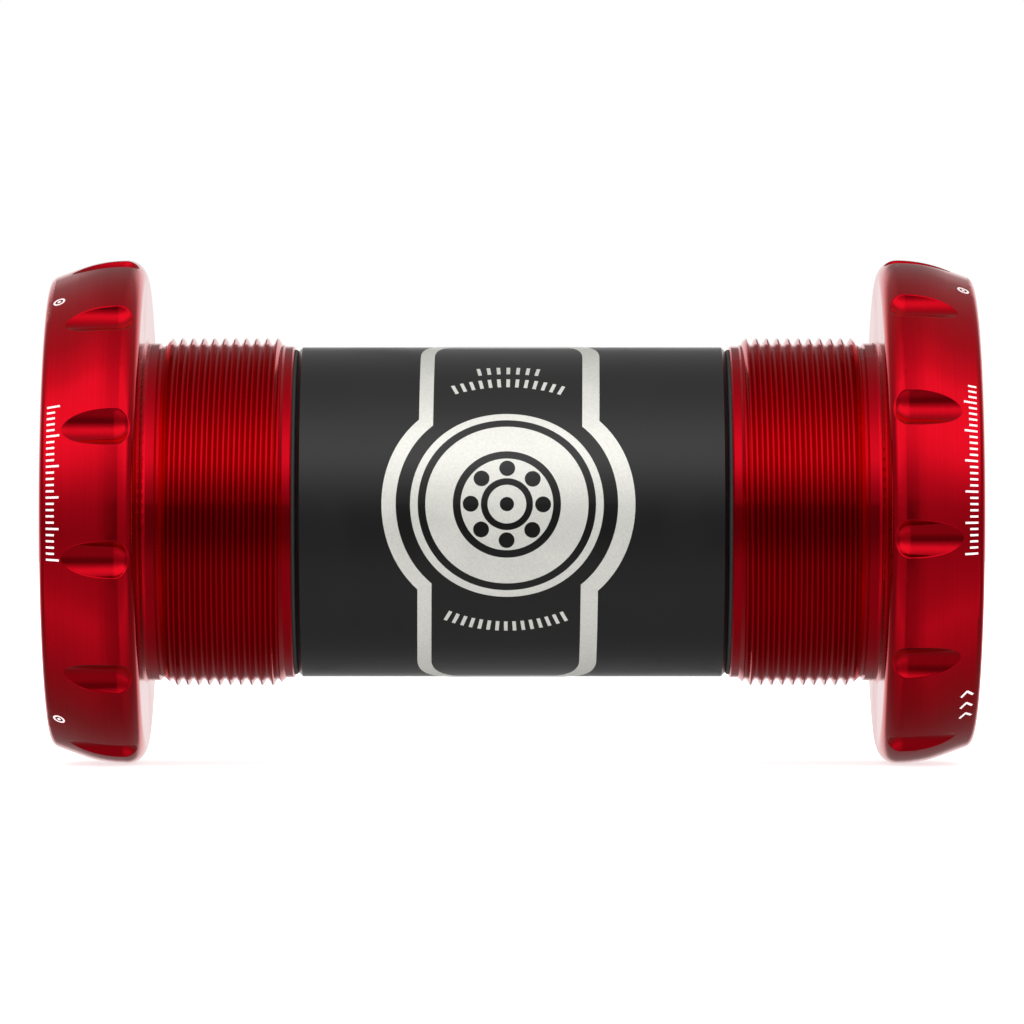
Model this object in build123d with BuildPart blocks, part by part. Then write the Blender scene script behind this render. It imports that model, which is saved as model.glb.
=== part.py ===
"""Threaded bottom bracket with outboard bearings, for a 30 mm spindle and a 73 mm bicycle frame shell.

Frame: +X runs along the spindle axis from the drive side to the non-drive side, +Z is up and -Y
faces the front of the bicycle. The origin is on the axis, midway between the two cups.

Every piece of a side is modelled on the non-drive side, at +X. The drive side is its mirror image
across the YZ plane, which also turns the right-hand cup thread into the drive side's left-hand one.
"""
from build123d import *
from math import cos, radians, sin, tan
import os

os.makedirs("parts", exist_ok=True)

# ---- shell and spindle, the two things this part is made to fit ----
SHELL_WIDTH = 73.0  # distance between the two flanges' inner faces
SPINDLE_R = 15.0
THREAD_PITCH = 25.4 / 24  # 24 threads per inch
THREAD_MAJOR_R = 17.4  # 1.37 in shell thread

# ---- cup, outside (x is the distance from the middle of the bracket) ----
CUP_MOUTH_X = 21.7
PILOT_R = 16.6
PILOT_CHAMFER = 0.15
THREAD_LEAD_X = 22.6  # end of the pilot, where the thread's lead chamfer starts
THREAD_END_X = 33.9  # start of the 45 degree run-out into the relief groove
THREAD_DEPTH = 0.65
THREAD_START_ANGLE = 37.0  # where round the lathe blank the groove is cut, from the top
THREAD_TURN = {"drive": 96.0, "non_drive": 114.6}  # how far the threaded blank is then turned
RELIEF_R = 16.6
RELIEF_STEP = 0.2  # axial length of the relief groove's outboard corner
NECK_X = 35.15
NECK_R = 16.9
NECK_FILLET = 0.5
FLANGE_INNER_X = SHELL_WIDTH / 2
FLANGE_OUTER_X = 46.0
FLANGE_R = 25.2
RIM_FILLET = 2.0  # inboard edge of the rim
CROWN_R = 13.2  # arc of the rim, seen from the side
CONE_ANGLE = 20.0
CORNER_FILLET = 1.0

# ---- cup, inside ----
SPIGOT_BORE_R = 15.75
SPIGOT_BORE_END_X = 27.0
CLEAR_BORE_R = 15.4
MOUTH_CHAMFER_R = 16.35
SHOULDER_R = 19.6
SHOULDER_DEPTH = 0.4  # hollow behind the bearing, so that only its outer race is held
SHIELD_RECESS_R = 21.6
SHIELD_RECESS_CHAMFER = 0.2

# ---- notches round the rim, for the fitting tool ----
NOTCH_COUNT = 12
NOTCH_CUTTER_R = 2.15
NOTCH_FLOOR_R = 24.1
NOTCH_START_X = 38.71  # centre of the cutter's round end
NOTCH_EDGE_FILLET = 0.15
NOTCH_ANGLE = {"drive": 19.3, "non_drive": 24.0}  # first notch, above the front of the bracket

# ---- bearing, 30 x 42 x 7 ----
BEARING_R = 21.0
BEARING_WIDTH = 7.0
BEARING_X = 37.6  # inboard face
BALL_COUNT = 20
BALL_R = 1.785
PITCH_R = 18.0
GROOVE_R = 1.86
OUTER_LAND_R = 19.1
INNER_LAND_R = 16.9
RACE_CHAMFER = 0.3
SEAL_STEP_R = 19.7  # counterbore of the outer race that holds a seal
SEAL_STEP_DEPTH = 0.8
SEAL_WIDTH = 0.6
SEAL_INSET = 0.12
SEAL_EDGE_WIDTH = 0.5  # raised edge of the seal, on each side of its dish
SEAL_EDGE_SLOPE = 0.2
SEAL_LIP_R = 16.95
SEAL_LIP_BEVEL = 0.1
CAGE_R = (17.45, 18.55)
CAGE_WIDTH = 4.7
CAGE_POCKET_R = 1.86

# ---- dust shield, which turns with the spindle ----
SHIELD_BORE_R = 15.3
SHIELD_R = 21.35
SHIELD_OUTER_X = 45.9
SHIELD_PLATE_X = 45.2
SHIELD_HUB_R = 16.7
SHIELD_LIP_R = 20.5
SHIELD_LIP_GAP = 0.15  # between the lip and the outer race
SHIELD_BEVEL = 0.3
SHIELD_GROOVE_DEPTH = 0.2  # shallow ring round the outer face
SHIELD_GROOVE_R = (17.4, 20.0)
SHIELD_RING_X = 45.4
SHIELD_RING_R = 15.56
SHIELD_RING_SECTION_R = 0.45
RING_GROOVE_PLAY = 0.03

# ---- centre sleeve and its two O-rings ----
SLEEVE_R = 16.5
SLEEVE_SHOULDER_X = 21.3
SLEEVE_CHAMFER = 0.4
SLEEVE_BORE_R = 15.2
SPIGOT_R = 15.65
SPIGOT_END_X = 26.3
SPIGOT_CHAMFER = 0.2
SLEEVE_RING_SECTION_R = 0.3
TOUCH_GAP = 0.01  # between an O-ring and the faces it lies on

PART_GAP = 0.02  # between other pieces that touch

# ---- worked out from the sizes above ----
BEARING_END_X = BEARING_X + BEARING_WIDTH
BEARING_MID_X = BEARING_X + BEARING_WIDTH / 2
CROWN_X = FLANGE_INNER_X + RIM_FILLET
CROWN_END_X = CROWN_X + CROWN_R * sin(radians(CONE_ANGLE))
CROWN_END_R = FLANGE_R - CROWN_R * (1 - cos(radians(CONE_ANGLE)))
FLANGE_CORNER_R = CROWN_END_R - (FLANGE_OUTER_X - CROWN_END_X) * tan(radians(CONE_ANGLE))


def cup_blank():
    """The cup as it leaves the lathe, before its thread and its notches."""
    lead_end_x = THREAD_LEAD_X + THREAD_MAJOR_R - PILOT_R
    relief_x = THREAD_END_X + THREAD_MAJOR_R - RELIEF_R
    bore_step = SPIGOT_BORE_R - CLEAR_BORE_R
    with BuildPart() as blank:
        with BuildSketch(Plane.XY) as profile:
            with BuildLine():
                Polyline(
                    (FLANGE_INNER_X, FLANGE_R - RIM_FILLET),
                    (FLANGE_INNER_X, NECK_R),
                    (NECK_X, NECK_R),
                    (NECK_X - RELIEF_STEP, RELIEF_R),
                    (relief_x, RELIEF_R),
                    (THREAD_END_X, THREAD_MAJOR_R),
                    (lead_end_x, THREAD_MAJOR_R),
                    (THREAD_LEAD_X, PILOT_R),
                    (CUP_MOUTH_X + PILOT_CHAMFER, PILOT_R),
                    (CUP_MOUTH_X, PILOT_R - PILOT_CHAMFER),
                    (CUP_MOUTH_X, MOUTH_CHAMFER_R),
                    (CUP_MOUTH_X + MOUTH_CHAMFER_R - SPIGOT_BORE_R, SPIGOT_BORE_R),
                    (SPIGOT_BORE_END_X, SPIGOT_BORE_R),
                    (SPIGOT_BORE_END_X + bore_step, CLEAR_BORE_R),
                    (BEARING_X - SHOULDER_DEPTH, CLEAR_BORE_R),
                    (BEARING_X - SHOULDER_DEPTH, SHOULDER_R),
                    (BEARING_X, SHOULDER_R),
                    (BEARING_X, BEARING_R),
                    (BEARING_END_X, BEARING_R),
                    (BEARING_END_X, SHIELD_RECESS_R),
                    (FLANGE_OUTER_X - SHIELD_RECESS_CHAMFER, SHIELD_RECESS_R),
                    (FLANGE_OUTER_X, SHIELD_RECESS_R + SHIELD_RECESS_CHAMFER),
                    (FLANGE_OUTER_X, FLANGE_CORNER_R),
                    (CROWN_END_X, CROWN_END_R),
                )
                CenterArc((CROWN_X, FLANGE_R - CROWN_R), CROWN_R, 90 - CONE_ANGLE, CONE_ANGLE)
                CenterArc((CROWN_X, FLANGE_R - RIM_FILLET), RIM_FILLET, 90, 90)
            make_face()
            outer_corner = profile.vertices().sort_by_distance((FLANGE_OUTER_X, FLANGE_CORNER_R))[0]
            fillet(outer_corner, CORNER_FILLET)
            neck_corner = profile.vertices().sort_by_distance((FLANGE_INNER_X, NECK_R))[0]
            fillet(neck_corner, NECK_FILLET)
        revolve(axis=Axis.X)
    return blank.part


def thread_groove():
    """The right-hand V groove of the shell thread, swept along its helix.

    It starts over the pilot and ends over the relief groove, clear of the metal at both ends.
    """
    start_x = CUP_MOUTH_X + 0.5
    end_x = THREAD_END_X + THREAD_MAJOR_R - RELIEF_R
    overcut = 0.04  # how far the cutter stands out of the crests
    flank = tan(radians(30))
    crest = THREAD_PITCH / 8
    half_top = (THREAD_PITCH - crest) / 2 + overcut * flank
    half_root = (THREAD_PITCH - crest) / 2 - THREAD_DEPTH * flank
    with BuildPart() as groove:
        with BuildLine() as path:
            helix = Helix(
                pitch=THREAD_PITCH,
                height=end_x - start_x,
                radius=THREAD_MAJOR_R,
                center=(start_x, 0, 0),
                direction=(1, 0, 0),
            )
        start = helix @ 0
        outward = Vector(0, start.Y, start.Z).normalized()
        with BuildSketch(Plane(origin=start, x_dir=outward, z_dir=helix % 0)):
            with BuildLine():
                Polyline(
                    (overcut, -half_top),
                    (overcut, half_top),
                    (-THREAD_DEPTH, half_root),
                    (-THREAD_DEPTH, -half_root),
                    close=True,
                )
            make_face()
        sweep(path=path.wires()[0], is_frenet=True)
    return groove.part


def make_cup(first_notch, thread_turn):
    """A bearing cup: threaded, turned by the angle thread_turn, then notched from the angle first_notch."""
    with BuildPart() as cutter:
        Cylinder(NOTCH_CUTTER_R, FLANGE_OUTER_X, align=(Align.CENTER, Align.CENTER, Align.MIN))
        Sphere(NOTCH_CUTTER_R)
    with BuildPart() as threaded:
        add(cup_blank())
        add(thread_groove(), rotation=(THREAD_START_ANGLE, 0, 0), mode=Mode.SUBTRACT)
    with BuildPart() as cup:
        add(threaded.part, rotation=(thread_turn, 0, 0))
        # this plane's angles run downwards from the front, so the first notch's angle is negative
        with Locations(Plane(origin=(NOTCH_START_X, 0, 0), x_dir=(0, -1, 0), z_dir=(1, 0, 0))):
            with PolarLocations(NOTCH_FLOOR_R + NOTCH_CUTTER_R, NOTCH_COUNT, start_angle=-first_notch):
                add(cutter.part, mode=Mode.SUBTRACT)
        # the cutter's own seam lies in one plane across the axis, and stays sharp
        rims = cup.edges(Select.LAST).filter_by(lambda edge: edge.bounding_box().size.X > 0.1)
        fillet(rims, NOTCH_EDGE_FILLET)
    return cup.part


def make_outer_race():
    """The bearing's outer ring: raceway inside, and a step at each side for a seal."""
    with BuildPart() as race:
        with BuildSketch(Plane.XY) as profile:
            with BuildLine():
                Polyline(
                    (BEARING_X, SEAL_STEP_R),
                    (BEARING_X + SEAL_STEP_DEPTH, SEAL_STEP_R),
                    (BEARING_X + SEAL_STEP_DEPTH, OUTER_LAND_R),
                    (BEARING_END_X - SEAL_STEP_DEPTH, OUTER_LAND_R),
                    (BEARING_END_X - SEAL_STEP_DEPTH, SEAL_STEP_R),
                    (BEARING_END_X, SEAL_STEP_R),
                    (BEARING_END_X, BEARING_R),
                    (BEARING_X, BEARING_R),
                    close=True,
                )
            make_face()
            chamfer(profile.vertices().group_by(Axis.Y)[-1], RACE_CHAMFER)
            with Locations((BEARING_MID_X, PITCH_R)):
                Circle(GROOVE_R, mode=Mode.SUBTRACT)
        revolve(axis=Axis.X)
    return race.part


def make_inner_race():
    """The bearing's inner ring, whose bore is the spindle's seat."""
    with BuildPart() as race:
        with BuildSketch(Plane.XY) as profile:
            with Locations((BEARING_MID_X, (SPINDLE_R + INNER_LAND_R) / 2)):
                Rectangle(BEARING_WIDTH, INNER_LAND_R - SPINDLE_R)
            chamfer(profile.vertices().group_by(Axis.Y)[0], RACE_CHAMFER)
            with Locations((BEARING_MID_X, PITCH_R)):
                Circle(GROOVE_R, mode=Mode.SUBTRACT)
        revolve(axis=Axis.X)
    return race.part


def make_balls():
    """The full set of bearing balls, as separate solids on one pitch circle."""
    with BuildPart() as balls:
        with Locations(Plane(origin=(BEARING_MID_X, 0, 0), x_dir=(0, -1, 0), z_dir=(1, 0, 0))):
            with PolarLocations(PITCH_R, BALL_COUNT):
                Sphere(BALL_R)
    return balls.part


def make_cage():
    """The moulded ring that spaces the balls, with one round pocket for each."""
    cage_inner_r, cage_outer_r = CAGE_R
    with BuildPart() as cage:
        with BuildSketch(Plane.XY):
            with Locations((BEARING_MID_X, (cage_inner_r + cage_outer_r) / 2)):
                Rectangle(CAGE_WIDTH, cage_outer_r - cage_inner_r)
        revolve(axis=Axis.X)
        with Locations(Plane(origin=(BEARING_MID_X, 0, 0), x_dir=(0, -1, 0), z_dir=(1, 0, 0))):
            with PolarLocations(PITCH_R, BALL_COUNT):
                Cylinder(CAGE_POCKET_R, 2 * BALL_R, rotation=(0, 90, 0), mode=Mode.SUBTRACT)
    return cage.part


def make_seal(face_x, inward):
    """A bearing seal: a flat ring with a shallow dish, and a thin lip by the inner race.

    face_x is the bearing face it lies behind, and inward is the direction of x into the bearing.
    """
    front_x = face_x + inward * SEAL_INSET
    back_x = front_x + inward * SEAL_WIDTH
    dish_x = front_x + inward * SEAL_WIDTH / 3
    rim_r = SEAL_STEP_R - PART_GAP
    dish_outer_r = rim_r - SEAL_EDGE_WIDTH
    dish_inner_r = SEAL_LIP_R + SEAL_EDGE_WIDTH
    with BuildPart() as seal:
        with BuildSketch(Plane.XY):
            with BuildLine():
                Polyline(
                    (front_x, rim_r),
                    (front_x, dish_outer_r),
                    (dish_x, dish_outer_r - SEAL_EDGE_SLOPE),
                    (dish_x, dish_inner_r + SEAL_EDGE_SLOPE),
                    (front_x, dish_inner_r),
                    (front_x, SEAL_LIP_R + SEAL_LIP_BEVEL),
                    (dish_x, SEAL_LIP_R),
                    (back_x, SEAL_LIP_R),
                    (back_x, rim_r),
                    close=True,
                )
            make_face()
        revolve(axis=Axis.X)
    return seal.part


def make_dust_shield():
    """The outer cover: a thin plate with a hub on the spindle and a lip over the outer race."""
    hub_x = BEARING_END_X + PART_GAP
    lip_x = BEARING_END_X + SHIELD_LIP_GAP
    ring_groove_half = SHIELD_RING_SECTION_R + RING_GROOVE_PLAY
    ring_groove_r = SHIELD_RING_R + ring_groove_half
    groove_inner_r, groove_outer_r = SHIELD_GROOVE_R
    with BuildPart() as shield:
        with BuildSketch(Plane.XY) as profile:
            with BuildLine():
                Polyline(
                    (hub_x, SHIELD_BORE_R),
                    (SHIELD_RING_X - ring_groove_half, SHIELD_BORE_R),
                    (SHIELD_RING_X - ring_groove_half, ring_groove_r),
                    (SHIELD_RING_X + ring_groove_half, ring_groove_r),
                    (SHIELD_RING_X + ring_groove_half, SHIELD_BORE_R),
                    (SHIELD_OUTER_X, SHIELD_BORE_R),
                    (SHIELD_OUTER_X, SHIELD_R),
                    (lip_x, SHIELD_R),
                    (lip_x, SHIELD_LIP_R),
                    (SHIELD_PLATE_X, SHIELD_LIP_R - SHIELD_BEVEL),
                    (SHIELD_PLATE_X, SHIELD_HUB_R + SHIELD_BEVEL),
                    (hub_x, SHIELD_HUB_R),
                    close=True,
                )
            make_face()
            rim = profile.vertices().sort_by_distance((SHIELD_OUTER_X, SHIELD_R))[0]
            fillet(rim, SHIELD_BEVEL)
            with Locations((SHIELD_OUTER_X, (groove_inner_r + groove_outer_r) / 2)):
                groove_width = groove_outer_r - groove_inner_r
                Rectangle(2 * SHIELD_GROOVE_DEPTH, groove_width, mode=Mode.SUBTRACT)
        revolve(axis=Axis.X)
    return shield.part


def make_o_ring(x, ring_r, section_r):
    """A rubber ring whose round section is centred at the distance ring_r from the axis."""
    with BuildPart() as ring:
        with BuildSketch(Plane.XY):
            with Locations((x, ring_r)):
                Circle(section_r)
        revolve(axis=Axis.X)
    return ring.part


def save(part, name):
    """Label a finished piece and write its STEP file."""
    part.label = name
    export_step(part, f"parts/{name}.step")


# ---- the middle of the bracket ----
with BuildPart() as centre_sleeve:
    with BuildSketch(Plane.XY) as sleeve_profile:
        with BuildLine():
            Polyline(
                (0, SLEEVE_BORE_R),
                (SPIGOT_END_X, SLEEVE_BORE_R),
                (SPIGOT_END_X, SPIGOT_R - SPIGOT_CHAMFER),
                (SPIGOT_END_X - SPIGOT_CHAMFER, SPIGOT_R),
                (SLEEVE_SHOULDER_X, SPIGOT_R),
                (SLEEVE_SHOULDER_X, SLEEVE_R - SLEEVE_CHAMFER),
                (SLEEVE_SHOULDER_X - SLEEVE_CHAMFER, SLEEVE_R),
                (0, SLEEVE_R),
                close=True,
            )
        make_face()
        mirror(about=Plane.YZ)
    revolve(axis=Axis.X)
save(centre_sleeve.part, "centre_sleeve")

# ---- the pieces of each side ----
for side in ("drive", "non_drive"):
    sleeve_ring_x = SLEEVE_SHOULDER_X + SLEEVE_RING_SECTION_R + TOUCH_GAP
    sleeve_ring_r = SPIGOT_R + SLEEVE_RING_SECTION_R + TOUCH_GAP
    pieces = {
        f"{side}_side_cup": make_cup(NOTCH_ANGLE[side], THREAD_TURN[side]),
        f"{side}_bearing_outer_race": make_outer_race(),
        f"{side}_bearing_inner_race": make_inner_race(),
        f"{side}_bearing_balls": make_balls(),
        f"{side}_ball_cage": make_cage(),
        f"{side}_bearing_inboard_seal": make_seal(BEARING_X, 1),
        f"{side}_bearing_outboard_seal": make_seal(BEARING_END_X, -1),
        f"{side}_dust_shield": make_dust_shield(),
        f"{side}_shield_o_ring": make_o_ring(SHIELD_RING_X, SHIELD_RING_R, SHIELD_RING_SECTION_R),
        f"{side}_sleeve_o_ring": make_o_ring(sleeve_ring_x, sleeve_ring_r, SLEEVE_RING_SECTION_R),
    }
    for name, modelled in pieces.items():
        with BuildPart() as piece:
            add(modelled)
            if side == "drive":
                mirror(about=Plane.YZ, mode=Mode.REPLACE)
        save(piece.part, name)
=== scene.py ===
# %% [markdown]
# # A threaded bottom bracket, and how it gets its looks
#
# A bottom bracket holds a bicycle's crank spindle in the frame. Two red cups screw into the frame's
# shell, each with a ball bearing in its flange, and a black sleeve joins them inside the shell.
# The solid parts come ready made in the frame file. This script gives every one of them a finish,
# models what is printed on them (the sleeve's label and the marks on the flanges), and lights it.

# %% Load the frame
from math import cos, pi, radians, sin, tan

import bpy
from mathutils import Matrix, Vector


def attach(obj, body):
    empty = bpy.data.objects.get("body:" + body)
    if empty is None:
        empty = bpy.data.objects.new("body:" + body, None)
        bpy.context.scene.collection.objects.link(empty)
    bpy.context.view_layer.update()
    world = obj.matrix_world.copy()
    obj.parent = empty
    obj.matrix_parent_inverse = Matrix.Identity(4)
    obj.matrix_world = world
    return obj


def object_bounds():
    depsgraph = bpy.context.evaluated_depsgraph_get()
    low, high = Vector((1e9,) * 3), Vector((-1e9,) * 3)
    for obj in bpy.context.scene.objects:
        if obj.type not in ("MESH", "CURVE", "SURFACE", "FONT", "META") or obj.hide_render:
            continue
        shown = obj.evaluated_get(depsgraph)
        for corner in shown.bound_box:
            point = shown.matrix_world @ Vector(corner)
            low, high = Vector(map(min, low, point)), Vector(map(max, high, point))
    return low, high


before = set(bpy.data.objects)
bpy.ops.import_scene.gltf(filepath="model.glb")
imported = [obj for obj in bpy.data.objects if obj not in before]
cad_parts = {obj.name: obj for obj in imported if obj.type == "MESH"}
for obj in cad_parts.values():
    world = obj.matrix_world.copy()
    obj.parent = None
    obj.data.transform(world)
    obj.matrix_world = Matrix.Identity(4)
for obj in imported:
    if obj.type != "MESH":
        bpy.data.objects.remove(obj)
size_at_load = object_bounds()
scene = bpy.context.scene
MM = 0.001  # one millimetre, in the scene's metres
print("size in mm:", [round((high - low) / MM, 1) for low, high in zip(*size_at_load)])

# %% [markdown]
# ## Small tools for modelling
# Blender's operators work on whatever is active and selected, so the same three steps come before
# most of them: leave nothing selected, select one piece, make it the active one. The boolean tools
# take a second piece and use it up, as a punch or a welded-on part would be.

# %% Tools for selecting, fusing and cutting
def activate(piece):
    """Leave this piece as the only one selected."""
    bpy.ops.object.select_all(action="DESELECT")
    piece.select_set(True)
    bpy.context.view_layer.objects.active = piece


def combine(piece, tool, operation):
    """Fuse the tool into the piece (UNION) or cut it out (DIFFERENCE), and remove the tool."""
    activate(piece)
    bpy.ops.object.modifier_add(type="BOOLEAN")
    modifier = piece.modifiers[-1]
    modifier.operation = operation
    modifier.solver = "EXACT"
    modifier.object = tool
    bpy.ops.object.modifier_apply(modifier=modifier.name)
    bpy.data.objects.remove(tool)


def join_all(pieces, name):
    """Make one object of several, without fusing their surfaces."""
    activate(pieces[0])
    for piece in pieces:
        piece.select_set(True)
    bpy.ops.object.join()
    pieces[0].name = name
    return pieces[0]


print("modelling tools ready")

# %% [markdown]
# ## Shared effects, as node groups
# Three effects come back in many of the finishes, so each is a node group. The first gives the fine
# rings that a lathe leaves: a noise that depends only on the place along the axis and the distance
# from it, so that it never changes round the part. On a tube the rings lie side by side, and on a
# flat end face the same formula makes them circles.

# %% Node helpers and the turned-ring group
def place(tree, kind, **values):
    """Add a shader node and set its properties, or its inputs by name."""
    node = tree.nodes.new(kind)
    for key, value in values.items():
        if key in node.inputs:
            node.inputs[key].default_value = value
        else:
            setattr(node, key, value)
    return node


def calculate(tree, operation, first, second=0.0, third=0.0):
    """Add a maths node whose inputs are sockets or plain numbers, and return its result."""
    node = place(tree, "ShaderNodeMath", operation=operation)
    for socket, value in zip(node.inputs, (first, second, third)):
        if isinstance(value, (int, float)):
            socket.default_value = value
        else:
            tree.links.new(value, socket)
    return node.outputs["Value"]


def new_group(name, inputs, outputs):
    """Make an empty node group with number sockets, and return it with its two end nodes."""
    group = bpy.data.node_groups.new(name, "ShaderNodeTree")
    for label, value in inputs.items():
        socket = group.interface.new_socket(name=label, in_out="INPUT", socket_type="NodeSocketFloat")
        socket.default_value = value
    for label in outputs:
        group.interface.new_socket(name=label, in_out="OUTPUT", socket_type="NodeSocketFloat")
    return group, group.nodes.new("NodeGroupInput"), group.nodes.new("NodeGroupOutput")


def object_position(tree):
    """The piece's own coordinates, which stay with it when it moves."""
    return tree.nodes.new("ShaderNodeTexCoord").outputs["Object"]


turned, entry, result = new_group("turned rings", {"Rings per mm": 4.0}, ["Height"])
axes = place(turned, "ShaderNodeSeparateXYZ")
turned.links.new(object_position(turned), axes.inputs["Vector"])
across = calculate(turned, "MULTIPLY", axes.outputs["Y"], axes.outputs["Y"])
both = calculate(turned, "MULTIPLY_ADD", axes.outputs["Z"], axes.outputs["Z"], across)
distance = calculate(turned, "SQRT", both)
section = place(turned, "ShaderNodeCombineXYZ")
turned.links.new(axes.outputs["X"], section.inputs["X"])
turned.links.new(distance, section.inputs["Y"])
rings = place(turned, "ShaderNodeTexNoise", noise_dimensions="2D", Detail=3.0, Roughness=0.6)
turned.links.new(section.outputs["Vector"], rings.inputs["Vector"])
turned.links.new(calculate(turned, "DIVIDE", entry.outputs["Rings per mm"], MM), rings.inputs["Scale"])
turned.links.new(rings.outputs["Fac"], result.inputs["Height"])
print("node group:", turned.name, len(turned.nodes), "nodes")

# %% [markdown]
# The second group is a fine even grain, for anodised, ground and moulded surfaces and for the
# label's foil. Its size is given in millimetres, which is easier to judge than a texture's scale.

# %% Grain group
grain, entry, result = new_group("fine grain", {"Size mm": 0.2}, ["Height"])
specks = place(grain, "ShaderNodeTexNoise", Detail=2.0, Roughness=0.55)
grain.links.new(object_position(grain), specks.inputs["Vector"])
grain.links.new(
    calculate(grain, "DIVIDE", 1.0 / MM, entry.outputs["Size mm"]), specks.inputs["Scale"]
)
grain.links.new(specks.outputs["Fac"], result.inputs["Height"])
print("node group:", grain.name, len(grain.nodes), "nodes")

# %% [markdown]
# The third group is what handling leaves on a new part. Large soft patches, where the fingers were,
# only dull the surface a little. Dust is the small cells of a Voronoi pattern whose centres are very
# near, thinned out by a second noise so that most of the part stays clean.

# %% Handling group
SMUDGE_FROM = 0.45  # the patch noise at which a smudge starts
SMUDGE_FULL = 0.72
DUST_FROM = 0.52  # dust lies only where the patch noise is above this
DUST_RADIUS = 0.035  # as a share of a cell

handling, entry, result = new_group("handling", {"Patch mm": 9.0, "Dust mm": 2.2}, ["Smudge", "Dust"])
position = object_position(handling)
patches = place(handling, "ShaderNodeTexNoise", Detail=4.0, Roughness=0.55, Distortion=0.4)
handling.links.new(position, patches.inputs["Vector"])
handling.links.new(
    calculate(handling, "DIVIDE", 1.0 / MM, entry.outputs["Patch mm"]), patches.inputs["Scale"]
)
smudge = place(handling, "ShaderNodeMapRange", interpolation_type="SMOOTHSTEP")
smudge.inputs["From Min"].default_value = SMUDGE_FROM
smudge.inputs["From Max"].default_value = SMUDGE_FULL
handling.links.new(patches.outputs["Fac"], smudge.inputs["Value"])
cells = place(handling, "ShaderNodeTexVoronoi", feature="F1")
handling.links.new(position, cells.inputs["Vector"])
handling.links.new(
    calculate(handling, "DIVIDE", 1.0 / MM, entry.outputs["Dust mm"]), cells.inputs["Scale"]
)
near = calculate(handling, "LESS_THAN", cells.outputs["Distance"], DUST_RADIUS)
chosen = calculate(handling, "GREATER_THAN", patches.outputs["Fac"], DUST_FROM)
handling.links.new(smudge.outputs["Result"], result.inputs["Smudge"])
handling.links.new(calculate(handling, "MULTIPLY", near, chosen), result.inputs["Dust"])
print("node group:", handling.name, len(handling.nodes), "nodes")

# %% [markdown]
# ## A pattern for every finish
# Each finish starts as a Principled shader. Its plain values go straight on the shader's sockets,
# and only what varies over the surface is wired: the colour drifts between two near tones, the
# roughness rises in the smudges, and a bump makes the grain or the lathe's rings. The finishes could
# be wired one by one, but they differ only in their numbers, so one function makes most of them.

# %% Finish helpers
def use_group(tree, group, **values):
    """Put a node group in a material."""
    node = place(tree, "ShaderNodeGroup", node_tree=group)
    for key, value in values.items():
        node.inputs[key.replace("_", " ")].default_value = value
    return node


def new_finish(name, **sockets):
    """A material with a Principled shader whose sockets have these values."""
    material = bpy.data.materials.new(name)
    material.use_nodes = True
    shader = material.node_tree.nodes["Principled BSDF"]
    for socket, value in sockets.items():
        shader.inputs[socket.replace("_", " ")].default_value = value
    return material, material.node_tree, shader


def vary_colour(tree, shader, factor, dark, light):
    """Let the base colour drift between two tones."""
    mix = place(tree, "ShaderNodeMix", data_type="RGBA")
    ends = [socket for socket in mix.inputs if socket.type == "RGBA"]
    ends[0].default_value = (*dark, 1.0)
    ends[1].default_value = (*light, 1.0)
    tree.links.new(factor, mix.inputs["Factor"])
    tree.links.new(next(out for out in mix.outputs if out.type == "RGBA"), shader.inputs["Base Color"])


def vary_roughness(tree, shader, factor, clean, smudged):
    """Let the roughness run from its clean value to its smudged one."""
    spread = place(tree, "ShaderNodeMapRange")
    spread.inputs["To Min"].default_value = clean
    spread.inputs["To Max"].default_value = smudged
    tree.links.new(factor, spread.inputs["Value"])
    tree.links.new(spread.outputs["Result"], shader.inputs["Roughness"])


def add_bump(tree, shader, heights, depths_mm):
    """Add one bump for each height, one on the other; depths_mm says how deep each one is."""
    last = None
    for height, depth in zip(heights, depths_mm):
        bump = place(tree, "ShaderNodeBump", Strength=1.0, Distance=depth * MM)
        tree.links.new(height, bump.inputs["Height"])
        if last:
            tree.links.new(last.outputs["Normal"], bump.inputs["Normal"])
        last = bump
    tree.links.new(last.outputs["Normal"], shader.inputs["Normal"])


finishes = {}


def worked_finish(name, pattern, dark, light, roughness, patch_mm, depth_mm, **sockets):
    """A finish whose colour and bump follow one pattern.

    The pattern is a node group and its number: the grain's size in mm, or the rings per mm.
    """
    material, tree, shader = new_finish(name, **sockets)
    group, size = pattern
    texture = use_group(tree, group)
    texture.inputs[0].default_value = size
    touch = use_group(tree, handling, Patch_mm=patch_mm)
    vary_colour(tree, shader, texture.outputs["Height"], dark, light)
    vary_roughness(tree, shader, touch.outputs["Smudge"], *roughness)
    add_bump(tree, shader, [texture.outputs["Height"]], [depth_mm])
    finishes[name] = material
    print("finish:", name)


print("finish helpers ready")

# %% [markdown]
# ## Red anodised aluminium
# Anodising dyes a clear oxide layer over polished metal, so light passes through the colour, comes
# off the metal and passes through it again. Red paint under a clear coat would give white
# highlights, but here they are red too, so the shader is fully metallic with a deep red tint. The
# top of the oxide adds only a trace of white reflection, as a very thin clear coat, and the rings
# of the lathe just show in the highlights.

# %% Red anodised aluminium
worked_finish(
    "red_anodised_aluminium", (turned, 5.0), dark=(0.54, 0.0006, 0.008), light=(0.66, 0.0012, 0.012),
    roughness=(0.11, 0.17), patch_mm=11.0, depth_mm=0.004,
    Metallic=1.0, Coat_Weight=0.06, Coat_Roughness=0.1, Coat_IOR=1.5,
)

# %% [markdown]
# ## Black anodised aluminium
# The sleeve is finely blasted before it is dyed, so it is nearly matt. The black dye hides most of
# the metal, so the shader is only partly metallic, and a rough coat gives the soft band of light
# along the tube. The blasting leaves a fine grain of less than two tenths of a millimetre.

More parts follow.
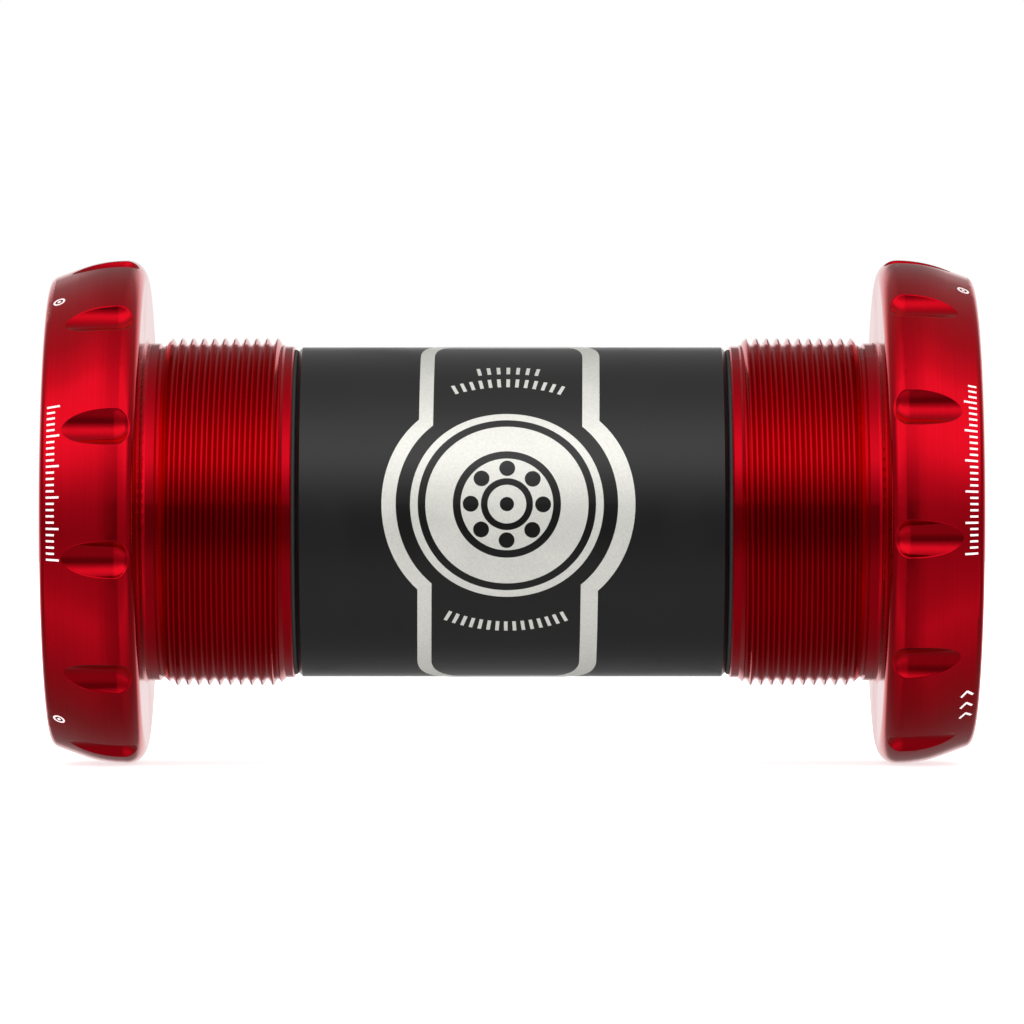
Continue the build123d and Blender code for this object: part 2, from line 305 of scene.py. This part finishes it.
# %% Black anodised aluminium
worked_finish(
    "black_anodised_aluminium", (grain, 0.16), dark=(0.0005, 0.0005, 0.0006), light=(0.0045, 0.0044, 0.0048),
    roughness=(0.31, 0.42), patch_mm=7.0, depth_mm=0.006, Metallic=0.3, Coat_Weight=0.5, Coat_Roughness=0.3,
)

# %% [markdown]
# ## Bearing steel and polished balls
# Both could share one bright metal, but they are worked in different ways. The races are ground,
# which leaves very fine rings round them. The balls are lapped to a mirror, so they have no rings at
# all, only the faintest grain and a film of grease where smudges lie.

# %% Bearing steel and polished balls
worked_finish(
    "bearing_steel", (turned, 9.0), dark=(0.50, 0.50, 0.51), light=(0.66, 0.66, 0.67),
    roughness=(0.22, 0.34), patch_mm=5.0, depth_mm=0.003, Metallic=1.0,
)
worked_finish(
    "polished_balls", (grain, 0.6), dark=(0.70, 0.70, 0.71), light=(0.80, 0.80, 0.81),
    roughness=(0.05, 0.14), patch_mm=3.0, depth_mm=0.001, Metallic=1.0, Coat_Weight=0.3, Coat_Roughness=0.2,
)

# %% [markdown]
# ## Plastics and rubbers
# Moulded plastics copy the fine texture of their mould, and turned ones keep the lathe's rings. The
# cage is nylon filled with glass fibre, which shows as pale specks. Rubber is the roughest of all,
# almost without highlights, and always gathers some dust. A second function makes all of them,
# because they need the grain, the rings and the dust together.

# %% Plastics and rubbers
def moulded(name, dark, light, roughness, grain_mm, depth_mm, dust):
    """A plastic or rubber finish: a mould's grain, faint turned rings and a little dust."""
    material, tree, shader = new_finish(name, IOR=1.5)
    texture = use_group(tree, grain, Size_mm=grain_mm)
    rings = use_group(tree, turned, Rings_per_mm=6.0)
    touch = use_group(tree, handling, Patch_mm=6.0, Dust_mm=1.4)
    tone = calculate(tree, "MULTIPLY_ADD", touch.outputs["Dust"], dust, texture.outputs["Height"])
    vary_colour(tree, shader, tone, dark, light)
    vary_roughness(tree, shader, touch.outputs["Smudge"], roughness, min(1.0, roughness + 0.15))
    add_bump(tree, shader, [texture.outputs["Height"], rings.outputs["Height"]], [depth_mm, depth_mm / 2])
    finishes[name] = material
    print("finish:", name)


moulded(
    "cage_polymer", dark=(0.10, 0.085, 0.055), light=(0.20, 0.17, 0.11),
    roughness=0.42, grain_mm=0.35, depth_mm=0.010, dust=0.3,
)
moulded(
    "seal_rubber", dark=(0.012, 0.012, 0.013), light=(0.030, 0.030, 0.032),
    roughness=0.55, grain_mm=0.18, depth_mm=0.012, dust=0.8,
)
moulded(
    "shield_polymer", dark=(0.014, 0.014, 0.015), light=(0.034, 0.034, 0.036),
    roughness=0.34, grain_mm=0.22, depth_mm=0.008, dust=0.6,
)
moulded(
    "o_ring_rubber", dark=(0.010, 0.010, 0.010), light=(0.022, 0.022, 0.022),
    roughness=0.50, grain_mm=0.14, depth_mm=0.010, dust=0.5,
)

# %% [markdown]
# ## Give the solid parts their finishes
# The 21 parts could be listed one by one, but a part's name already says what it is. A short list
# of endings is enough to sort all of them, and both sides get their finishes from the same line.

# %% Finishes for the solid parts
FINISH_BY_ENDING = {
    "side_cup": "red_anodised_aluminium",
    "centre_sleeve": "black_anodised_aluminium",
    "race": "bearing_steel",
    "bearing_balls": "polished_balls",
    "ball_cage": "cage_polymer",
    "board_seal": "seal_rubber",
    "dust_shield": "shield_polymer",
    "o_ring": "o_ring_rubber",
}
for name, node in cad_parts.items():
    chosen_finish = next(finish for ending, finish in FINISH_BY_ENDING.items() if name.endswith(ending))
    node.data.materials.clear()
    node.data.materials.append(finishes[chosen_finish])
    print(name, "->", chosen_finish)

# %% [markdown]
# ## The label's three finishes
# The label is a silver film printed in black under a clear varnish. The film scatters light almost
# like white paint, so it is only partly metallic, with a fine grain. The ink is smooth and glossy,
# and shows the studio as a soft grey band. The marks on the flanges are burnt through the red dye by
# a laser, which leaves the oxide a rough white.

# %% Label and mark finishes
worked_finish(
    "label_foil", (grain, 0.22), dark=(0.70, 0.70, 0.65), light=(0.93, 0.925, 0.87),
    roughness=(0.42, 0.52), patch_mm=5.0, depth_mm=0.006, Metallic=0.7, Coat_Weight=0.3, Coat_Roughness=0.15,
)
worked_finish(
    "label_ink", (grain, 0.18), dark=(0.0008, 0.0007, 0.0006), light=(0.0035, 0.0031, 0.0028),
    roughness=(0.14, 0.20), patch_mm=8.0, depth_mm=0.003, IOR=1.5, Coat_Weight=0.4, Coat_Roughness=0.1,
)
worked_finish(
    "laser_mark", (grain, 0.12), dark=(0.74, 0.70, 0.70), light=(0.95, 0.92, 0.92),
    roughness=(0.6, 0.75), patch_mm=4.0, depth_mm=0.006, IOR=1.5,
)

# %% [markdown]
# ## Flat first, then bent
# A label is printed flat and then laid round the tube, and it is modelled the same way. It could be
# a picture on the tube's surface, but then it would have no edge of its own to catch the light. The
# flat pieces are drawn in millimetres, standing in the XZ plane: x is along the spindle, z will be the
# distance round the tube, and the height above the surface points towards -Y. Then each is sliced
# across at even levels, so that it has edges to bend at, bent round the spindle's axis, and made
# metres. All pieces share the same levels, so their layers bend alike and never cross.

# %% Tools for flat pieces
SLICE = 0.6  # distance between two levels, in mm


def flat_disc(radius, back, front, x=0.0, z=0.0, sides=96):
    """A disc between two heights above the surface."""
    bpy.ops.mesh.primitive_cylinder_add(
        vertices=sides, radius=radius, depth=front - back,
        location=(x, -(back + front) / 2, z), rotation=(pi / 2, 0, 0),
    )
    bpy.ops.object.transform_apply(location=True, rotation=True, scale=True)
    return bpy.context.object


def flat_bar(width, height, back, front, x=0.0, z=0.0, turn=0.0):
    """A rectangle between two heights above the surface, turned in its own plane."""
    bpy.ops.mesh.primitive_cube_add(size=1, location=(x, -(back + front) / 2, z), rotation=(0, turn, 0))
    bpy.context.object.scale = (width, front - back, height)
    bpy.ops.object.transform_apply(location=True, rotation=True, scale=True)
    return bpy.context.object


def flat_ring(outer, inner, back, front, x=0.0, z=0.0, sides=96):
    """A disc with a round hole."""
    ring = flat_disc(outer, back, front, x, z, sides)
    combine(ring, flat_disc(inner, back - 1, front + 1, x, z, sides), "DIFFERENCE")
    return ring


def wrap(piece, radius, centre_x, lean=0.0, turn=0.0, tilt=0.0):
    """Tilt a flat piece in its plane, slice it, lean it to a cone's slope, and bend it round the X axis."""
    activate(piece)
    piece.rotation_euler = (0, tilt, 0)
    bpy.ops.object.transform_apply(location=True, rotation=True, scale=True)
    heights = [vertex.co.z for vertex in piece.data.vertices]
    bpy.ops.object.mode_set(mode="EDIT")
    for level in range(int(min(heights) // SLICE), int(max(heights) // SLICE) + 1):
        bpy.ops.mesh.select_all(action="SELECT")
        bpy.ops.mesh.bisect(plane_co=(0, 0, level * SLICE), plane_no=(0, 0, 1))
    bpy.ops.object.mode_set(mode="OBJECT")
    piece.rotation_euler = (0, 0, lean)
    bpy.ops.object.transform_apply(location=False, rotation=True, scale=False)
    bpy.ops.object.modifier_add(type="SIMPLE_DEFORM")
    bend = piece.modifiers[-1]
    bend.deform_method = "BEND"
    bend.deform_axis = "X"
    bend.angle = (max(heights) - min(heights)) / radius
    bpy.ops.object.modifier_apply(modifier=bend.name)
    piece.location = (centre_x, -radius, 0)
    bpy.ops.object.transform_apply(location=True, rotation=False, scale=False)
    piece.rotation_euler = (turn, 0, 0)
    piece.scale = (MM, MM, MM)
    bpy.ops.object.transform_apply(location=False, rotation=True, scale=True)
    bpy.ops.object.shade_smooth_by_angle(angle=radians(30))


def finish_piece(piece, name, finish, body):
    """Name a piece, give it its finish, and let it ride on its body."""
    piece.name = name
    piece.data.name = name
    piece.data.materials.clear()
    piece.data.materials.append(finishes[finish])
    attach(piece, body)
    print(name, "faces:", len(piece.data.polygons))


print("flat tools ready")

# %% [markdown]
# ## The label's film and print
# The outline is a long strip with round ends, crossed by a disc in its middle. It could be drawn as
# one curve, but welding a bar and three discs needs only a few sizes. The black print repeats that
# outline a little smaller, so that an even silver border is left, and has a round window cut in it
# where the film shows again.

# %% Label outline
SLEEVE_R = 16.5
LABEL_X = -0.35
LABEL_TURN = radians(-2.7)
LABEL_TILT = radians(0.5)  # it was put on by hand, not quite square
PRINT_SHIFT = -0.15  # the black print sits a little to one side of the film
STRIP_HALF = 18.9  # from the middle to where the round ends start
FILM_SIZE = (8.87, 12.45)  # half of the strip's width, and the radius of the disc across it
PRINT_SIZE = (7.33, 10.9)
WINDOW_R = 9.5
FILM_FRONT = 0.04  # heights above the sleeve
PRINT_FRONT = 0.05
ROWS_FRONT = 0.06
SUNK = 0.01  # how far a layer reaches into the one under it
ROUND = 192  # sides of the label's large circles


def label_outline(half_width, disc_radius, back, front):
    """A strip with round ends and a disc across its middle, as one piece."""
    outline = flat_bar(2 * half_width, 2 * STRIP_HALF, back, front)
    for end in (-STRIP_HALF, STRIP_HALF):
        combine(outline, flat_disc(half_width, back, front, z=end, sides=128), "UNION")
    combine(outline, flat_disc(disc_radius, back, front, sides=ROUND), "UNION")
    return outline


def put_on_sleeve(piece, name, finish, shift):
    """Wrap a flat piece round the sleeve, and finish it as part of the label."""
    wrap(piece, SLEEVE_R, LABEL_X + shift, turn=LABEL_TURN, tilt=LABEL_TILT)
    finish_piece(piece, name, finish, "centre_sleeve")


film = label_outline(*FILM_SIZE, -SUNK, FILM_FRONT)
put_on_sleeve(film, "sleeve_label_film", "label_foil", 0)

black_print = label_outline(*PRINT_SIZE, FILM_FRONT - SUNK, PRINT_FRONT)
combine(black_print, flat_disc(WINDOW_R, -1, 1, sides=ROUND), "DIFFERENCE")
put_on_sleeve(black_print, "sleeve_label_print", "label_ink", PRINT_SHIFT)

# %% [markdown]
# ## The emblem in the label's window
# The emblem says what the part holds: a ball bearing seen from its end, with an outer ring, an inner
# ring, eight balls between them and the spindle in the middle, inside a plain circle. It could be
# cut out of one black disc, but rings and discs laid side by side are quicker to measure and change.

# %% Label emblem
EMBLEM_CIRCLE = (8.74, 8.0)  # outer and inner radius
EMBLEM_RACES = ((5.3, 4.55), (2.55, 1.9))
EMBLEM_BALLS = 8
EMBLEM_BALL_R = 0.78
EMBLEM_BALLS_AT = 3.55  # the radius of the row of balls
EMBLEM_SPINDLE_R = 0.7
EMBLEM_BACK = FILM_FRONT - SUNK

emblem_parts = [flat_ring(*EMBLEM_CIRCLE, EMBLEM_BACK, PRINT_FRONT, sides=ROUND)]
for race in EMBLEM_RACES:
    emblem_parts.append(flat_ring(*race, EMBLEM_BACK, PRINT_FRONT))
for ball in range(EMBLEM_BALLS):
    angle = 2 * pi * ball / EMBLEM_BALLS
    x = EMBLEM_BALLS_AT * cos(angle)
    z = EMBLEM_BALLS_AT * sin(angle)
    emblem_parts.append(flat_disc(EMBLEM_BALL_R, EMBLEM_BACK, PRINT_FRONT, x, z, sides=32))
emblem_parts.append(flat_disc(EMBLEM_SPINDLE_R, EMBLEM_BACK, PRINT_FRONT, sides=32))
put_on_sleeve(join_all(emblem_parts, "emblem"), "sleeve_label_emblem", "label_ink", PRINT_SHIFT)

# %% [markdown]
# ## The curved rows on the label
# Three short rows of upright strokes follow the disc's edge, two above it and one below. They are
# plain graduation strokes that say nothing, only there so that the black fields aren't empty. They
# are the same silver as the film, and lie on the ink like a second printing.

# %% Label rows
# radius, half of the row's angle, number of strokes, and 1 for above the disc or -1 for below it
ROWS = ((13.7, 22.5, 13, 1), (15.8, 10.5, 7, 1), (13.1, 25.8, 15, -1))
ROW_STROKE = (0.36, 1.25)  # width and height

strokes = []
for row_radius, half_angle, count, side in ROWS:
    for index in range(count):
        angle = radians(half_angle) * (2 * index / (count - 1) - 1)
        x = row_radius * sin(angle)
        z = side * row_radius * cos(angle)
        strokes.append(flat_bar(*ROW_STROKE, PRINT_FRONT - SUNK / 2, ROWS_FRONT, x, z, side * angle))
put_on_sleeve(join_all(strokes, "rows"), "sleeve_label_rows", "label_foil", PRINT_SHIFT)

# %% [markdown]
# ## The marks on the flanges
# Each flange has a cone near its outer end, and the marks lie on that cone. They could be a mask in
# the red finish, but as thin pieces their edges stay crisp from close by. They are laid out flat
# like the label, then leaned to the cone's slope before the bend. A scale of fine strokes runs
# along the front, with a longer one every fifth, small rings sit further round, and on one side
# there are three chevrons as a plain direction sign.

# %% Flange marks
CONE_SLOPE = radians(20)
CONE_START = (43.01, 24.40)  # where the cone begins: its place along the spindle and its radius
MARK_X = 44.65
MARK_R = CONE_START[1] - (MARK_X - CONE_START[0]) * tan(CONE_SLOPE)
MARK_BACK = -0.015
MARK_FRONT = 0.025
SCALE_EDGE = 0.65  # from MARK_X out to the line where the strokes start
LONG_STROKE = 1.35
SHORT_STROKE = 0.85
STROKE_WIDTH = 0.2
RING_SIZE = (0.62, 0.42)  # outer and inner radius
DOT_R = 0.18
CHEVRON_ARM = (0.95, 0.24)  # length and width
CHEVRON_HALF = 0.3  # from the point's line to the middle of an arm
CHEVRON_TURN = radians(48)
# angles round the spindle, in degrees from the front; the scales are first, last and number of strokes
DRIVE_SCALE = (-11.3, 25.4, 26)
DRIVE_RINGS_AT = (60.4, -59.0)
NON_DRIVE_SCALE = (-9.8, 31.0, 29)
NON_DRIVE_RING_AT = 67.0
CHEVRONS_AT = (-57.0, -52.7, -48.4)


def arc_length(degrees):
    """How far round the cone an angle is, in mm."""
    return radians(degrees) * MARK_R


def flange_scale(first, last, count, outward):
    """Fine strokes between two angles, all starting at the scale's outer line."""
    made = []
    for index in range(count):
        length = LONG_STROKE if index % 5 == 0 else SHORT_STROKE
        x = outward * (SCALE_EDGE - length / 2)
        z = arc_length(first + (last - first) * index / (count - 1))
        made.append(flat_bar(length, STROKE_WIDTH, MARK_BACK, MARK_FRONT, x, z))
    return made


def flange_ring(degrees):
    """A small ring with a dot in it."""
    z = arc_length(degrees)
    return [
        flat_ring(*RING_SIZE, MARK_BACK, MARK_FRONT, z=z, sides=40),
        flat_disc(DOT_R, MARK_BACK, MARK_FRONT, z=z, sides=20),
    ]


def chevron(degrees):
    """Two strokes that meet in a point."""
    z = arc_length(degrees)
    arms = []
    for side in (-1, 1):
        arms.append(
            flat_bar(*CHEVRON_ARM, MARK_BACK, MARK_FRONT, side * CHEVRON_HALF, z, side * CHEVRON_TURN)
        )
    combine(arms[0], arms[1], "UNION")
    return arms[:1]


drive_marks = flange_scale(*DRIVE_SCALE, outward=-1)
for degrees in DRIVE_RINGS_AT:
    drive_marks += flange_ring(degrees)
non_drive_marks = flange_scale(*NON_DRIVE_SCALE, outward=1) + flange_ring(NON_DRIVE_RING_AT)
for degrees in CHEVRONS_AT:
    non_drive_marks += chevron(degrees)
for side, outward, marks in (("drive", -1, drive_marks), ("non_drive", 1, non_drive_marks)):
    piece = join_all(marks, f"{side}_marks")
    wrap(piece, MARK_R, outward * MARK_X, lean=outward * CONE_SLOPE)
    finish_piece(piece, f"{side}_cup_marks", "laser_mark", f"{side}_side_cup")

# %% [markdown]
# ## The studio around it
# Polished metal shows its surroundings more than itself, so the world is built like a light tent.
# Large lamps could do the same, but each would need its own place, and a world reaches every side
# at once. Its brightness depends on the direction round the spindle: a bright panel above the
# front, dim cloth below it, and white at the back for the grazing edges. Plain views and diffuse
# light get an even white instead, which keeps the background clean. Near the spindle's own
# direction the bands fade into a soft gradient, so that the ends look right too. There are two rows
# of panels, one straight across from the middle and a brighter one further out to the sides.

# %% World
# degrees round the spindle (0 is the front, 90 the top), and the brightness there
MIDDLE_PANELS = (
    (-180, 1.0), (-167, 1.0), (-160, 0.26), (-106, 0.25), (-75, 0.32), (-38, 0.32), (-16, 0.16),
    (-5, 0.15), (4, 0.18), (7, 0.32), (16, 0.46), (36, 1.1), (50, 1.07), (62, 0.86), (75, 0.63),
    (90, 0.48), (106, 0.38), (127, 0.32), (160, 0.26), (167, 1.0), (180, 1.0),
)
SIDE_PANELS = (
    (-180, 1.0), (-165, 1.0), (-156, 0.25), (-120, 0.25), (-92, 0.37), (-56, 0.67), (-41, 0.5),
    (-12, 0.35), (3, 0.46), (15, 0.73), (29, 1.23), (39, 1.38), (52, 1.38), (66, 1.3), (75, 0.94),
    (94, 0.57), (117, 0.42), (146, 0.36), (165, 1.0), (180, 1.0),
)
# how far sideways a direction is (0 is square to the spindle, 1 along it) where one gives way to the next
MIDDLE_TO_SIDES = (0.08, 0.32)
SIDES_TO_ENDS = (0.8, 0.97)
END_BRIGHTNESS = 0.3  # at the spindle's height, with more above and less below
END_GRADIENT = 0.2


def panel_ramp(tree, turn_share, panels):
    """A colour ramp that holds the brightness of each panel round the spindle."""
    ramp = place(tree, "ShaderNodeValToRGB")
    stops = ramp.color_ramp.elements
    while len(stops) < len(panels):
        stops.new(0.5)
    for stop, (degrees, brightness) in zip(stops, panels):
        stop.position = (degrees + 180) / 360
        stop.color = (brightness, brightness, brightness, 1.0)
    tree.links.new(turn_share, ramp.inputs["Fac"])
    return ramp.outputs["Color"]


def blend_numbers(tree, factor, first, second):
    """Run from first to second as the factor goes from 0 to 1."""
    node = place(tree, "ShaderNodeMix", data_type="FLOAT")
    for socket, value in zip([s for s in node.inputs if s.type == "VALUE"], (factor, first, second)):
        if isinstance(value, (int, float)):
            socket.default_value = value
        else:
            tree.links.new(value, socket)
    return next(out for out in node.outputs if out.type == "VALUE")


def fade(tree, value, start, end):
    """A number that rises smoothly from 0 to 1 between two values."""
    node = place(tree, "ShaderNodeMapRange", interpolation_type="SMOOTHSTEP")
    node.inputs["From Min"].default_value = start
    node.inputs["From Max"].default_value = end
    tree.links.new(value, node.inputs["Value"])
    return node.outputs["Result"]


world = bpy.data.worlds.new("studio")
scene.world = world
world.use_nodes = True
tree = world.node_tree
axes = place(tree, "ShaderNodeSeparateXYZ")
tree.links.new(tree.nodes.new("ShaderNodeTexCoord").outputs["Generated"], axes.inputs["Vector"])
forward = calculate(tree, "MULTIPLY", axes.outputs["Y"], -1.0)
turn = calculate(tree, "ARCTAN2", axes.outputs["Z"], forward)
turn_share = calculate(tree, "MULTIPLY_ADD", turn, 0.5 / pi, 0.5)
sideways = calculate(tree, "ABSOLUTE", axes.outputs["X"])
middle = panel_ramp(tree, turn_share, MIDDLE_PANELS)
sides = panel_ramp(tree, turn_share, SIDE_PANELS)
panels = blend_numbers(tree, fade(tree, sideways, *MIDDLE_TO_SIDES), middle, sides)
end_light = calculate(tree, "MULTIPLY_ADD", axes.outputs["Z"], END_GRADIENT, END_BRIGHTNESS)
reflected = blend_numbers(tree, fade(tree, sideways, *SIDES_TO_ENDS), panels, end_light)
print("panels:", len(MIDDLE_PANELS), "and", len(SIDE_PANELS))

# %% [markdown]
# The rays are told apart by the Light Path node: rays straight from the camera see pure white, the
# ones that a shiny surface sends out see the panels, and all others see an even white light.

# %% World, by kind of ray
EVEN_LIGHT = 0.9
PLAIN_WHITE = 1.0

ray = tree.nodes.new("ShaderNodeLightPath")
unseen = blend_numbers(tree, ray.outputs["Is Glossy Ray"], EVEN_LIGHT, reflected)
seen = blend_numbers(tree, ray.outputs["Is Camera Ray"], unseen, PLAIN_WHITE)
tree.links.new(seen, tree.nodes["Background"].inputs["Strength"])
tree.nodes["Background"].inputs["Color"].default_value = (1.0, 1.0, 1.0, 1.0)
print("world nodes:", len(tree.nodes))

# %% [markdown]
# ## Floor, lamps and camera
# The floor is a light table, a large pale sheet that glows a little, so that the part stands on it
# almost without a shadow. Brighter lamps could whiten a plain floor too, but they would wash out the
# black sleeve. Shiny surfaces don't see the floor, because in the tent they would see the cloth
# below. A wide lamp overhead and a smaller one in front lighten the floor and the matt parts. The
# camera stands in front at the spindle's height, with a long lens that hardly shows perspective.

# %% Floor, lamps and camera
FLOOR_Z = size_at_load[0][2]  # the object's lowest point
FLOOR_SIZE = 6.0
FLOOR_GLOW = 0.7
CAMERA_Y = -0.75
LENS_MM = 263.1

bpy.ops.mesh.primitive_plane_add(size=FLOOR_SIZE, location=(0, 0, FLOOR_Z))
floor = bpy.context.object
floor.name = "studio_floor"
floor.visible_glossy = False
bpy.ops.object.transform_apply(location=True, rotation=True, scale=True)
material, tree, shader = new_finish(
    "light_table", Roughness=0.9, Specular_IOR_Level=0.1, Emission_Strength=FLOOR_GLOW
)
shader.inputs["Emission Color"].default_value = (1.0, 1.0, 1.0, 1.0)
texture = use_group(tree, grain, Size_mm=3.0)
vary_colour(tree, shader, texture.outputs["Height"], (0.93, 0.93, 0.93), (0.96, 0.96, 0.96))
floor.data.materials.append(material)


def soft_lamp(name, size, watts, location, rotation):
    """A square lamp that lights matt surfaces but isn't mirrored in shiny ones."""
    bpy.ops.object.light_add(type="AREA", location=location, rotation=rotation)
    lamp = bpy.context.object
    lamp.name = name
    lamp.data.size = size
    lamp.data.energy = watts
    lamp.visible_glossy = False
    lamp.visible_camera = False
    return lamp


soft_lamp("overhead_lamp", size=1.2, watts=5.0, location=(0, -0.1, 0.9), rotation=(0, 0, 0))
soft_lamp("front_lamp", size=0.5, watts=1.2, location=(0, -0.9, 0.55), rotation=(radians(58), 0, 0))

bpy.ops.object.camera_add(location=(0, CAMERA_Y, 0), rotation=(pi / 2, 0, 0))
camera = bpy.context.object
camera.name = "front_camera"
camera.data.lens = LENS_MM
camera.data.sensor_width = 36.0
camera.data.clip_start = 0.01
camera.data.clip_end = 20.0
scene.camera = camera
scene.view_settings.view_transform = "Standard"
print("floor at", round(FLOOR_Z / MM, 2), "mm; camera", tuple(camera.location))
